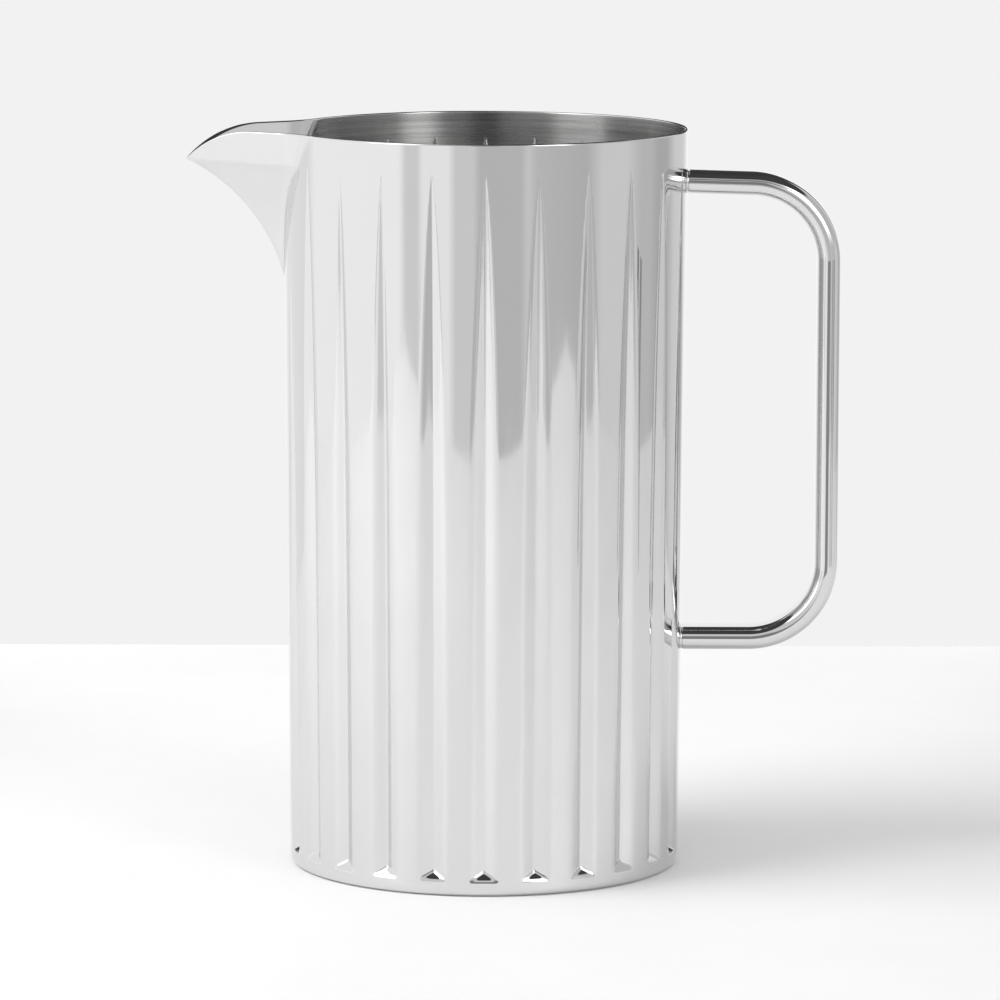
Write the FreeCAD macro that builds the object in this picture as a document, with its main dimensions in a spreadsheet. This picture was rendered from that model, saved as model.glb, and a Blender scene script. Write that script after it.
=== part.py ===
"""Fluted water pitcher: a welded sheet-metal assembly, in millimetres.

The body's axis is Z and it stands on Z = 0. The spout points to -X and the handle to +X.
Angles round the body are counted from +X, anticlockwise seen from above.
"""
import FreeCAD, Part
import math
import os

import Sketcher

V = FreeCAD.Vector

DIMENSIONS = {
    # body
    "rim_height": 229.0,
    "rim_radius": 62.3,
    "foot_radius": 60.5,
    "gauge": 1.0,
    "weld_width": 0.5,
    # bottom
    "heel_radius": 2.2,
    "pan_height": 3.2,
    "pan_rise": 1.2,
    "rest_ring_inner_radius": 52.0,
    "rest_ring_step": 2.0,
    # flutes
    "flute_pitch_angle": 15.0,
    "flute_depth": 2.0,
    "flute_half_width": 3.9,
    "flute_run_out": 55.0,
    "flute_tip_height": 219.0,
    "flute_foot_height": 4.9,
    "flute_foot_rise": 2.4,
    "beside_spout_tip_height": 193.0,
    "below_spout_tip_height": 173.0,
    # spout
    "spout_reach": 92.6,
    "spout_rim_reach": 97.3,
    "spout_tip_height": 219.2,
    "spout_half_angle": 31.0,
    "spout_blend": 4.5,
    "keel_radius": 56.0,
    "keel_tip_slope": 25.0,
    "keel_edge_radius": 2.0,
    "lean_limit": 1.4,
    "lip_drop_start": 71.5,
    "lip_drop_radius": 28.0,
    "cutout_foot_height": 178.0,
    "cutout_foot_half_width": 4.0,
    "cutout_rim_half_width": 33.0,
    # handle
    "handle_reach": 105.9,
    "handle_thickness": 7.0,
    "handle_width": 14.0,
    "handle_gauge": 1.0,
    "handle_bend_radius": 24.0,
    "handle_top_height": 211.4,
    "handle_top_slope": 1.6,
    "handle_bottom_height": 70.5,
    "handle_root": 58.0,
    "handle_weld_width": 0.8,
}

# How finely the formed surfaces are sampled.
FLUTE_SECTIONS = 4
SPOUT_HEIGHTS = (174, 181, 188, 195, 202, 209, 215, 219.2, 224, 229)
SPOUT_ANGLES = (0, 1, 2.5, 4.5, 7, 10, 13, 16, 19, 22, 25, 28, 32, 36)

doc = FreeCAD.newDocument("water_pitcher")


# ---------------------------------------------------------------- dimensions

def make_sheet():
    """The driving dimensions, one row each: name, value."""
    table = doc.addObject("Spreadsheet::Sheet", "sheet")
    for row, (name, value) in enumerate(DIMENSIONS.items(), start=1):
        table.set(f"A{row}", name)
        table.set(f"B{row}", str(value))
        table.setAlias(f"B{row}", name)
    doc.recompute()
    return table


sheet = make_sheet()


def size(name):
    """The value of one driving dimension."""
    return float(getattr(sheet, name))


def wall_radius(height):
    """The expression for the wall's outer radius at a height, itself an expression."""
    taper = "(sheet.rim_radius - sheet.foot_radius)"
    return f"(sheet.foot_radius + {taper} * ({height}) / sheet.rim_height)"


def wall_radius_at(height):
    taper = size("rim_radius") - size("foot_radius")
    return size("foot_radius") + taper * height / size("rim_height")


# ---------------------------------------------------------------- bodies and sketches

def new_body(name):
    body = doc.addObject("PartDesign::Body", name)
    body.Label = name
    return body


def origin_feature(body, role):
    """One of a body's own origin planes or axes."""
    return next(f for f in body.Origin.OriginFeatures if f.Role == role)


def new_sketch(body, name, role, offset=None):
    """A sketch on an origin plane, with its attachment offset bound to an expression."""
    sketch = body.newObject("Sketcher::SketchObject", name)
    sketch.AttachmentSupport = [(origin_feature(body, role), "")]
    sketch.MapMode = "FlatFace"
    if offset:
        sketch.setExpression("AttachmentOffset", offset)
    return sketch


def pin(sketch, geometry, point, x=None, y=None):
    """Hold a point at x, y or both, each an expression; "0" puts it on an axis."""
    for kind, axis, value in (("DistanceX", -2, x), ("DistanceY", -1, y)):
        if value is None:
            continue
        if value == "0":
            sketch.addConstraint(Sketcher.Constraint("PointOnObject", geometry, point, axis))
            continue
        guess = float(sketch.evalExpression(value))
        index = sketch.addConstraint(Sketcher.Constraint(kind, -1, 1, geometry, point, guess))
        sketch.setExpression(f"Constraints[{index}]", value)


def arc_guess(start, end, centre, anticlockwise):
    """An arc from start to end. centre is ("x" or "y", value), and its other half is worked out."""
    along, value = centre
    if along == "x":
        other = equidistant((start[1], start[0]), (end[1], end[0]), value)
        middle = V(value, other, 0)
    else:
        middle = V(equidistant(start, end, value), value, 0)
    angles = [math.atan2(p[1] - middle.y, p[0] - middle.x) for p in (start, end)]
    if not anticlockwise:
        angles.reverse()
    if angles[1] <= angles[0]:
        angles[1] += 2 * math.pi
    radius = math.dist(start, (middle.x, middle.y))
    return Part.ArcOfCircle(Part.Circle(middle, V(0, 0, 1), radius), *angles)


def equidistant(p, q, level):
    """The first coordinate of the point at this level that is as far from p as from q."""
    return (q[0] ** 2 - p[0] ** 2 + (q[1] - level) ** 2 - (p[1] - level) ** 2) / (2 * (q[0] - p[0]))


def add_outline(sketch, corners, arcs=None, closed=True):
    """An outline through corners, each (x expression, y expression).

    arcs gives the sides that are arcs: {side: (centre axis, centre expression, anticlockwise)}.
    """
    arcs = arcs or {}
    base = sketch.GeometryCount
    points = [tuple(float(sketch.evalExpression(text)) for text in corner) for corner in corners]
    count = len(corners) if closed else len(corners) - 1
    ends = []
    for side in range(count):
        start, end = points[side], points[(side + 1) % len(points)]
        if side in arcs:
            axis, centre, anticlockwise = arcs[side]
            level = float(sketch.evalExpression(centre))
            sketch.addGeometry(arc_guess(start, end, (axis, level), anticlockwise))
            ends.append((1, 2) if anticlockwise else (2, 1))
        else:
            sketch.addGeometry(Part.LineSegment(V(*start, 0), V(*end, 0)))
            ends.append((1, 2))
    for side in range(count if closed else count - 1):
        after = (side + 1) % count
        joint = (base + side, ends[side][1], base + after, ends[after][0])
        sketch.addConstraint(Sketcher.Constraint("Coincident", *joint))
    for side in range(count):
        pin(sketch, base + side, ends[side][0], *corners[side])
    if not closed:
        pin(sketch, base + count - 1, ends[-1][1], *corners[-1])
    for side, (axis, centre, _) in arcs.items():
        pin(sketch, base + side, 3, **{axis: centre})


def revolved(body, kind, name, sketch):
    """A sketch in the XZ plane turned all the way round Z."""
    feature = body.newObject(kind, name)
    feature.Profile = sketch
    feature.ReferenceAxis = (sketch, ["V_Axis"])
    feature.Angle = 360
    return feature


def lofted(body, kind, name, sections):
    feature = body.newObject(kind, name)
    feature.Profile = sections[0]
    feature.Sections = sections[1:]
    feature.Ruled = True
    feature.Refine = False
    return feature


# ---------------------------------------------------------------- body shell

def wall_profile(body):
    """The section of the plain wall: a thin taper with a half-round rim."""
    sketch = new_sketch(body, "wall_profile", "XZ_Plane")
    low = "(sheet.pan_height + sheet.weld_width)"
    high = "(sheet.rim_height - sheet.gauge / 2)"
    corners = (
        (wall_radius(low), low),
        (wall_radius(high), high),
        (f"{wall_radius(high)} - sheet.gauge", high),
        (f"{wall_radius(low)} - sheet.gauge", low),
    )
    add_outline(sketch, corners, {1: ("y", high, True)})
    return sketch


def flute_section(body, name, angle, height, growth, inset, tilt):
    """A triangle across a flute, with its origin on the wall and its point towards the axis.

    growth is the share of the full depth. An inset triangle lies within the wall and makes the
    ridge inside, parallel to the groove. tilt lays the triangle back, as at the foot.
    """
    shift = "(sheet.gauge * 1.15)" if inset else "0"
    base = "(sheet.gauge * 0.65)" if inset else "sheet.gauge"
    depth = f"(sheet.flute_depth * {growth} / cos({tilt}))"
    half_width = f"(sheet.flute_half_width * {growth} * (1 + {base} / {depth}))"
    radius = f"({wall_radius(height)} - {shift})"
    place = (
        f"placement(vector({radius} * cos({angle}); {radius} * sin({angle}); {height});"
        f" rotationz({angle}) * rotationy({tilt}))"
    )
    sketch = new_sketch(body, name, "XY_Plane", place)
    add_outline(sketch, ((f"-{depth}", "0"), (base, f"-{half_width}"), (base, half_width)))
    return sketch


def flute(body, name, index, tip_height, inset):
    """One pressed flute: a groove cut outside, or the ridge that it raises inside.

    The first section lies back as the facet at the foot. The others are closer together towards
    the tip, where the depth runs out.
    """
    angle = f"({index} * sheet.flute_pitch_angle * 1deg)"
    facet_foot = "(sheet.flute_foot_height - 0.3 * sheet.gauge)" if inset else "sheet.flute_foot_height"
    facet_tilt = "atan(sheet.flute_foot_rise / sheet.flute_depth)"
    sections = [flute_section(body, f"{name}_facet", angle, facet_foot, "1", inset, facet_tilt)]
    foot = "(sheet.flute_foot_height + 2 * sheet.flute_foot_rise)"
    for i in range(FLUTE_SECTIONS):
        rise = 1 - (1 - i / (FLUTE_SECTIONS - 1)) ** 2
        height = f"({foot} + (sheet.{tip_height} - {foot}) * {rise})"
        growth = f"(1 - exp(-(sheet.{tip_height} + 1 - {height}) / sheet.flute_run_out))"
        sections.append(flute_section(body, f"{name}_{i}", angle, height, growth, inset, "0deg"))
    kind = "PartDesign::AdditiveLoft" if inset else "PartDesign::SubtractiveLoft"
    return lofted(body, kind, name, sections)


def repeat_flute(body, name, master, count):
    """Copies of one flute round both sides of the body."""
    repeat = body.newObject("PartDesign::MultiTransform", f"{name}_pattern")
    repeat.Originals = [master]
    turn = body.newObject("PartDesign::PolarPattern", f"{name}_turn")
    turn.Axis = (origin_feature(body, "Z_Axis"), [""])
    turn.Occurrences = count
    turn.setExpression("Angle", f"sheet.flute_pitch_angle * {count - 1}")
    flip = body.newObject("PartDesign::Mirrored", f"{name}_flip")
    flip.MirrorPlane = (origin_feature(body, "XZ_Plane"), [""])
    repeat.Transformations = [turn, flip]
    repeat.Refine = False
    body.Tip = repeat


def cut_spout_opening(body):
    """The V-shaped cut-out, up through the rim, that takes the spout and its weld."""
    sketch = new_sketch(body, "spout_opening_outline", "YZ_Plane")
    rim = "(sheet.cutout_rim_half_width + sheet.weld_width)"
    foot = "(sheet.cutout_foot_half_width + sheet.weld_width)"
    foot_height = "(sheet.cutout_foot_height - sheet.weld_width)"
    above_rim = "(sheet.rim_height + sheet.gauge)"
    corners = (
        (f"-{foot}", foot_height),
        (foot, foot_height),
        (rim, "sheet.rim_height"),
        (rim, above_rim),
        (f"-{rim}", above_rim),
        (f"-{rim}", "sheet.rim_height"),
    )
    add_outline(sketch, corners)
    pocket = body.newObject("PartDesign::Pocket", "spout_opening")
    pocket.Profile = sketch
    pocket.Type = "Length"
    pocket.setExpression("Length", "sheet.rim_radius + sheet.gauge")
    doc.recompute()
    if not opening_is_at_spout(body):
        pocket.Reversed = True
        doc.recompute()


def opening_is_at_spout(body):
    """Whether the wall is cut at the spout's side and whole at the handle's side."""
    height = size("rim_height") - 5
    radius = wall_radius_at(height) - size("gauge") / 2
    spout_side = body.Shape.isInside(V(-radius, 0, height), 0.01, True)
    handle_side = body.Shape.isInside(V(radius, 0, height), 0.01, True)
    return handle_side and not spout_side


def make_body_shell():
    """The fluted tube. The place behind the handle has no flute, and three by the spout are short."""
    body = new_body("body_shell")
    revolved(body, "PartDesign::Revolution", "wall", wall_profile(body))
    spout_index = round(180 / size("flute_pitch_angle"))
    short_flutes = {
        spout_index - 1: "beside_spout_tip_height",
        spout_index: "below_spout_tip_height",
        spout_index + 1: "beside_spout_tip_height",
    }
    for word, inset in (("ridge", True), ("groove", False)):
        master = flute(body, word, 1, "flute_tip_height", inset)
        repeat_flute(body, word, master, spout_index - 2)
        for index, tip_height in short_flutes.items():
            flute(body, f"{word}_{index}", index, tip_height, inset)
    cut_spout_opening(body)
    return body


# ---------------------------------------------------------------- bottom

def make_base_pan():
    """The drawn bottom: a raised centre, a flat resting ring and a rounded heel."""
    body = new_body("base_pan")
    sketch = new_sketch(body, "pan_profile", "XZ_Plane")
    heel_start = "(sheet.foot_radius - sheet.heel_radius)"
    inside = "(sheet.foot_radius - sheet.gauge)"
    ring = "sheet.rest_ring_inner_radius"
    step = "(sheet.rest_ring_inner_radius - sheet.rest_ring_step)"
    corners = (
        ("0", "sheet.pan_rise"),
        (step, "sheet.pan_rise"),
        (ring, "0"),
        (heel_start, "0"),
        ("sheet.foot_radius", "sheet.heel_radius"),
        ("sheet.foot_radius", "sheet.pan_height"),
        (inside, "sheet.pan_height"),
        (inside, "sheet.heel_radius"),
        (heel_start, "sheet.gauge"),
        (ring, "sheet.gauge"),
        (step, "sheet.gauge + sheet.pan_rise"),
        ("0", "sheet.gauge + sheet.pan_rise"),
    )
    arcs = {3: ("y", "sheet.heel_radius", True), 7: ("y", "sheet.heel_radius", False)}
    add_outline(sketch, corners, arcs)
    revolved(body, "PartDesign::Revolution", "pan", sketch)
    return body


def make_base_weld():
    """The ring of filler between the pan and the shell, ground flush."""
    body = new_body("base_weld")
    sketch = new_sketch(body, "weld_profile", "XZ_Plane")
    low = "sheet.pan_height"
    high = "(sheet.pan_height + sheet.weld_width)"
    corners = (
        ("(sheet.foot_radius - sheet.gauge)", low),
        ("sheet.foot_radius", low),
        (wall_radius(high), high),
        (f"{wall_radius(high)} - sheet.gauge", high),
    )
    add_outline(sketch, corners)
    revolved(body, "PartDesign::Revolution", "weld", sketch)
    return body


# ---------------------------------------------------------------- handle

def slot_outline(sketch, centre_height, half_thickness):
    """A flat oval across the tube: straight top and bottom, half-round sides."""
    half_flat = "((sheet.handle_width - sheet.handle_thickness) / 2)"
    low = f"({centre_height} - {half_thickness})"
    high = f"({centre_height} + {half_thickness})"
    corners = ((f"-{half_flat}", low), (half_flat, low), (half_flat, high), (f"-{half_flat}", high))
    add_outline(sketch, corners, {1: ("x", half_flat, True), 3: ("x", f"-{half_flat}", True)})


def tube_section(body, name, centre_height):
    """The tube's section, outside and bore, on a plane across X at the handle's root."""
    place = "placement(vector(0; 0; sheet.handle_root); rotationz(0))"
    sketch = new_sketch(body, name, "YZ_Plane", place)
    slot_outline(sketch, centre_height, "sheet.handle_thickness / 2")
    slot_outline(sketch, centre_height, "(sheet.handle_thickness / 2 - sheet.handle_gauge)")
    return sketch


def top_bar_height(reach):
    """The expression for the height of the top bar's centre line at a distance from the axis."""
    drop = "tan(sheet.handle_top_slope * 1deg)"
    return f"(sheet.handle_top_height + (sheet.handle_reach - {reach}) * {drop})"


def handle_path(body):
    """The tube's centre line: out from the wall, down the grip and back, with two bends."""
    sketch = new_sketch(body, "handle_path", "XZ_Plane")
    reach = "sheet.handle_reach"
    top = "sheet.handle_top_height"
    slope = "(sheet.handle_top_slope * 1deg)"
    tangent = f"(sheet.handle_bend_radius * tan((90deg - {slope}) / 2))"
    low_bend = "(sheet.handle_bottom_height + sheet.handle_bend_radius)"
    corners = (
        ("sheet.handle_root", top_bar_height("sheet.handle_root")),
        (f"({reach} - {tangent} * cos({slope}))", f"({top} + {tangent} * sin({slope}))"),
        (reach, f"({top} - {tangent})"),
        (reach, low_bend),
        (f"({reach} - sheet.handle_bend_radius)", "sheet.handle_bottom_height"),
        ("sheet.handle_root", "sheet.handle_bottom_height"),
    )
    arcs = {1: ("y", f"({top} - {tangent})", False), 3: ("y", low_bend, False)}
    add_outline(sketch, corners, arcs, closed=False)
    return sketch


def cut_ring(body, name, inner, outer):
    """Remove all that lies between two expressions for the distance outside the wall's face."""
    sketch = new_sketch(body, f"{name}_profile", "XZ_Plane")
    low, high = "0", "sheet.rim_height"
    near = [f"{wall_radius(z)} + {inner}" if inner else "0" for z in (low, high)]
    far = [f"{wall_radius(z)} + {outer}" for z in (low, high)]
    corners = ((near[0], low), (far[0], low), (far[1], high), (near[1], high))
    add_outline(sketch, corners)
    before = body.Shape.Volume
    groove = revolved(body, "PartDesign::Groove", name, sketch)
    doc.recompute()
    if not 0 < body.Shape.Volume < before:
        raise RuntimeError(f"{name} cuts nothing")
    return groove


def make_handle_tube():
    """The bent flat-oval tube, its ends cut to the wall less the width of the welds."""
    body = new_body("handle_tube")
    section = tube_section(body, "tube_section", top_bar_height("sheet.handle_root"))
    path = handle_path(body)
    pipe = body.newObject("PartDesign::AdditivePipe", "bent_tube")
    pipe.Profile = section
    pipe.Spine = (path, [])
    doc.recompute()
    cut_ring(body, "end_trim", None, "sheet.handle_weld_width")
    return body


def make_handle_weld(name, centre_height):
    """The filler between one end of the tube and the wall, dressed to the tube's section."""
    body = new_body(name)
    section = tube_section(body, "weld_section", centre_height)
    pad = body.newObject("PartDesign::Pad", "weld_blank")
    pad.Profile = section
    pad.setExpression("Length", "sheet.rim_radius + 4 * sheet.handle_weld_width - sheet.handle_root")
    doc.recompute()
    cut_ring(body, "wall_face", None, "0")
    cut_ring(body, "tube_face", "sheet.handle_weld_width", "10 * sheet.handle_weld_width")
    return body


# ---------------------------------------------------------------- spout

def keel_reach(height, inset):
    """How far the keel stands from the axis: an arc up to the tip, and straight above it.

    inset gives the parallel inside the sheet. Where the keel leans far out the sheet is drawn
    thinner, which lean_limit sets.
    """
    slope = math.radians(size("keel_tip_slope"))
    radius = size("keel_radius")
    centre_reach = size("spout_reach") + radius * math.sin(slope)
    centre_height = size("spout_tip_height") - radius * math.cos(slope)
    tip = size("spout_tip_height")
    rise = max(0.0, min(height, tip) - centre_height)
    level = math.sqrt(radius ** 2 - rise ** 2)
    half_angle = math.radians(size("spout_half_angle"))
    fold_shift = inset / math.sin(half_angle) - inset
    lean_shift = inset * min(radius / level, size("lean_limit"))
    flare = (size("spout_rim_reach") - size("spout_reach")) / (size("rim_height") - tip)
    return centre_reach - level - fold_shift - lean_shift + flare * max(0.0, height - tip)


def smooth_max(a, b, width):
    """The larger of two numbers, rounded over where they are within width of each other."""
    if width <= 0:
        return max(a, b)
    near = max(width - abs(a - b), 0.0) / width
    return max(a, b) + near * near * width / 4


def formed_radius(angle, height, inset):
    """The distance from the axis of the sheet where the folded beak meets the round wall.

    angle is counted from the spout's middle plane.
    """
    half_angle = math.radians(size("spout_half_angle"))
    reach = keel_reach(height, inset)
    softness = size("keel_edge_radius") / (reach * math.tan(half_angle))
    side = math.hypot(math.sin(angle), softness) - softness
    beak = reach * math.sin(half_angle)
    beak /= math.sin(half_angle) * math.cos(angle) + math.cos(half_angle) * side
    foot = size("cutout_foot_height")
    share = (height - foot) / (size("rim_height") - foot)
    blend = size("spout_blend") * min(1.0, max(0.0, share))
    return smooth_max(wall_radius_at(height) - inset, beak, blend)


def formed_edge(height, inset):
    """The curve of one face of the sheet at a height, from one side of the spout to the other."""
    degrees = [-a for a in reversed(SPOUT_ANGLES[1:])] + list(SPOUT_ANGLES)
    points = []
    for degree in degrees:
        angle = math.radians(degree)
        radius = formed_radius(angle, height, inset)
        points.append(V(-radius * math.cos(angle), radius * math.sin(angle), height))
    curve = Part.BSplineCurve()
    curve.interpolate(points)
    return curve.toShape(), points[0], points[-1]


def formed_sheet():
    """The sheet of the spout, running on into the wall's own curve on both sides."""
    wires = []
    for height in SPOUT_HEIGHTS:
        outer, outer_first, outer_last = formed_edge(height, 0.0)
        inner, inner_first, inner_last = formed_edge(height, size("gauge"))
        sides = [Part.makeLine(outer_last, inner_last), Part.makeLine(inner_first, outer_first)]
        wires.append(Part.Wire([outer, sides[0], inner, sides[1]]))
    return Part.makeLoft(wires, True, False)


def cutout_prism(margin):
    """The V-shaped prism through the wall that bounds the spout, grown by a margin."""
    foot = size("cutout_foot_half_width") + margin
    rim = size("cutout_rim_half_width") + margin
    low = size("cutout_foot_height") - margin
    high = size("rim_height")
    above = high + size("gauge")
    outline = ((-foot, low), (foot, low), (rim, high), (rim, above), (-rim, above), (-rim, high))
    corners = [V(0, y, z) for y, z in outline + outline[:1]]
    return Part.Face(Part.makePolygon(corners)).extrude(V(-2 * size("rim_radius"), 0, 0))


def lip_cutter():
    """The space above the lip, where the rim drops in an arc towards the tip."""
    radius = size("lip_drop_radius")
    width = size("rim_radius")
    start = V(-size("lip_drop_start"), -width, size("rim_height"))
    centre = start - V(0, 0, radius)
    end = centre - V(radius, 0, 0)
    middle = centre + V(-math.sqrt(0.5), 0, math.sqrt(0.5)) * radius
    top = V(0, 0, radius + size("gauge"))
    edges = [
        Part.Arc(start, middle, end).toShape(),
        Part.makeLine(end, end + top),
        Part.makeLine(end + top, V(start.x, start.y, end.z + top.z)),
        Part.makeLine(V(start.x, start.y, end.z + top.z), start),
    ]
    return Part.Face(Part.Wire(edges)).extrude(V(0, 2 * width, 0))


def new_feature(name, shape):
    """A piece whose shape is formed directly, with its own placement."""
    feature = doc.addObject("Part::Feature", name)
    feature.Label = name
    feature.Shape = shape
    feature.Placement = FreeCAD.Placement()
    return feature


def make_spout_and_weld():
    """The beak, cut to its seam and its lip, and the V-shaped weld round it."""
    form = formed_sheet()
    inner_prism = cutout_prism(0.0)
    spout = form.common(inner_prism).cut(lip_cutter())
    weld = form.common(cutout_prism(size("weld_width")).cut(inner_prism))
    return new_feature("spout", spout), new_feature("spout_weld", weld)


# ---------------------------------------------------------------- assembly

def check(pieces):
    """Stop before writing anything if a feature failed or a piece isn't one sound solid."""
    for item in doc.Objects:
        if {"Invalid", "Error"} & set(item.State):
            raise RuntimeError(f"{item.Name} failed: {item.State}")
    for piece in pieces:
        shape = piece.Shape
        if shape.isNull() or not shape.isValid() or not shape.Solids:
            raise RuntimeError(f"{piece.Label} has no valid solid")


def write(pieces):
    os.makedirs("parts", exist_ok=True)
    for piece in pieces:
        shape = piece.Shape
        shape.exportStep(f"parts/{piece.Label}.step")
        print(f"{piece.Label}: {len(shape.Solids)} solid, {shape.Volume / 1000:.2f} cm3")


def main():
    pieces = [
        make_base_pan(),
        make_base_weld(),
        make_handle_tube(),
        make_handle_weld("upper_handle_weld", top_bar_height("sheet.rim_radius")),
        make_handle_weld("lower_handle_weld", "sheet.handle_bottom_height"),
        *make_spout_and_weld(),
        make_body_shell(),
    ]
    doc.recompute()
    check(pieces)
    write(pieces)


if __name__ == "__main__":
    main()
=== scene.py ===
import math

import bpy
import numpy as np
from mathutils import Matrix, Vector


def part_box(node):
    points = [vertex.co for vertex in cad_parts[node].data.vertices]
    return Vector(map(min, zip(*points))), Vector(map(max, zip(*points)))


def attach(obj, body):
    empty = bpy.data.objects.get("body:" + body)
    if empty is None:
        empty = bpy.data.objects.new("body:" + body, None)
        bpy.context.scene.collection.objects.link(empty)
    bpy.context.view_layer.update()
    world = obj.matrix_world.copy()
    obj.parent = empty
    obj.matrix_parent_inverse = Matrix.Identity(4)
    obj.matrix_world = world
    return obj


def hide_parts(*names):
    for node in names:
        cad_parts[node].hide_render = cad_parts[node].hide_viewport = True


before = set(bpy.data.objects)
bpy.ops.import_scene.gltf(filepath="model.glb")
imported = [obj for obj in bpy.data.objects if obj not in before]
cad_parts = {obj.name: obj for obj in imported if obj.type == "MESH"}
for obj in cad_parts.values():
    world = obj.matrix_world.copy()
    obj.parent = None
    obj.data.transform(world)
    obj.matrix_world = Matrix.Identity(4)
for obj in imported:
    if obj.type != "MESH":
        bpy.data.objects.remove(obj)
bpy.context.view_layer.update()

# Lengths are in millimetres, as in the CAD, and become metres when a mesh is made.
# Angles on the body are counted from the spout's middle plane, in radians.
MM = 0.001
UP = np.array([0.0, 0.0, 1.0])

# ---------------------------------------------------------------- sizes

RIM_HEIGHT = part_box("body_shell")[1].z / MM
RIM_RADIUS = 62.3
FOOT_RADIUS = 60.5
GAUGE = 1.0
WELD_WIDTH = 0.5

HEEL_RADIUS = 2.2
PAN_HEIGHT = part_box("base_pan")[1].z / MM
PAN_RISE = 1.2
RING_INNER_RADIUS = 52.0
RING_STEP = 2.0
STEP_BEND_RADIUS = 1.5

FLUTE_PITCH = math.radians(15.0)
PLAIN_FLUTE_INDEX = 12
FLUTE_DEPTH = 2.0
FLUTE_HALF_WIDTH = 3.9
FLUTE_RUN_OUT = 55.0
FLUTE_TIP_HEIGHT = 219.0
BESIDE_SPOUT_TIP_HEIGHT = 193.0
BELOW_SPOUT_TIP_HEIGHT = 173.0
TIP_MARGIN = 1.0
FLUTE_FOOT_HEIGHT = 4.9
FLUTE_FOOT_RISE = 2.4
FOOT_INSET_SHARE = 0.3
VALLEY_ROUNDING = 0.3
SHOULDER_ROUNDING = 0.7
FACET_ROUNDING = 0.8

SPOUT_REACH = 92.6
SPOUT_RIM_REACH = 97.3
SPOUT_TIP_HEIGHT = 219.2
SPOUT_HALF_ANGLE = math.radians(31.0)
SPOUT_BLEND = 4.5
SPOUT_START_HEIGHT = 176.0
SPOUT_ANGLE_LIMIT = math.radians(60.0)
KEEL_RADIUS = 56.0
KEEL_TIP_SLOPE = math.radians(25.0)
KEEL_EDGE_RADIUS = 2.0
LEAN_LIMIT = 1.4
LIP_DROP_START = 71.5
LIP_DROP_RADIUS = 28.0
CUTOUT_FOOT_HEIGHT = 178.0
CUTOUT_FOOT_HALF_WIDTH = 4.0
CUTOUT_RIM_HALF_WIDTH = 33.0

HANDLE_THICKNESS = 7.0
HANDLE_WIDTH = 14.0
HANDLE_GAUGE = 1.0
HANDLE_BEND_RADIUS = 24.0
HANDLE_TOP_HEIGHT = 211.4
HANDLE_TOP_SLOPE = math.radians(1.6)
HANDLE_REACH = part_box("handle_tube")[1].x / MM - HANDLE_THICKNESS / 2
HANDLE_BOTTOM_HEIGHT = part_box("handle_tube")[0].z / MM + HANDLE_THICKNESS / 2
HANDLE_WELD_WIDTH = 0.8
# The outside of a handle weld as (distance from the wall, depth below the tube's face).
HANDLE_WELD_WAIST = [(0.0, 0.0), (0.2, 0.22), (0.4, 0.3), (0.6, 0.22), (HANDLE_WELD_WIDTH, 0.0)]
HANDLE_CREASE_DEPTH = 0.06
HANDLE_CREASE_TURN = math.asin(0.36)
HANDLE_CREASE_HALF_WIDTH = 0.05

# ---------------------------------------------------------------- how finely meshes are divided

# Degrees from a flute's middle line, closest together in its valley and on its shoulders.
FLUTE_COLUMNS = [0, 0.07, 0.15, 0.3, 0.55, 0.9, 1.4, 2.0, 2.6,
                 3.0, 3.25, 3.5, 3.75, 4.0, 4.4, 5.0, 5.8, 6.6, 7.5]
SPOUT_SIDE_COLUMNS = 44
LEAST_COLUMN_GAP = math.radians(0.02)

# Zones of rows up the wall (from, to, step), closest together where the flutes' feet and tips are.
ROW_ZONES = [
    (PAN_HEIGHT + WELD_WIDTH, 9.0, 0.3), (9.6, 11.0, 0.9), (12.0, 16.0, 3.0),
    (20.0, 150.0, 10.0), (150.0, 205.0, 3.0), (205.0, RIM_HEIGHT - 1.0, 1.5),
]
STRETCH_START = 175.0

SPOUT_COLUMNS = 97
SPOUT_ROWS = 61
KEEL_CROWDING = 1.6
SEAM_SIDE_STEPS = 60
SEAM_FOOT_STEPS = 13
CROWN_TURNS = np.linspace(0, math.pi, 9)[1:-1]
LATHE_SEGMENTS = 288
PAN_FLAT_RADII = (0.0, 6.0, 12.0, 24.0, 36.0, 44.0)
STEP_BEND_POINTS = 7
HEEL_POINTS = 25
BEND_POINTS = 49
OVAL_SIDE_POINTS = 25
CREASE_POINTS = 13
CREASE_REACH = 2.4

# Rounds after which the repeated solutions below no longer change.
LIP_HALVINGS = 30
SEAM_ROUNDS = 12
TRIM_ROUNDS = 3


# ---------------------------------------------------------------- mesh helpers

def make_piece(name, vertices, faces, materials, material_of_face=None, normals=None):
    """A smooth-shaded mesh object from points in millimetres."""
    mesh = bpy.data.meshes.new(name)
    corners = [list(map(int, face)) for face in faces]
    mesh.from_pydata((np.asarray(vertices) * MM).tolist(), [], corners)
    for material in materials:
        mesh.materials.append(material)
    mesh.polygons.foreach_set("use_smooth", [True] * len(mesh.polygons))
    if material_of_face is not None:
        mesh.polygons.foreach_set("material_index", material_of_face)
    mesh.validate()
    if normals is not None:
        mesh.normals_split_custom_set_from_vertices(np.asarray(normals).tolist())
    mesh.update()
    piece = bpy.data.objects.new(name, mesh)
    bpy.context.scene.collection.objects.link(piece)
    return piece


def stand_for(piece, node):
    """The piece rides on the only body and takes the place of a CAD node."""
    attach(piece, "root")
    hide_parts(node)


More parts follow.
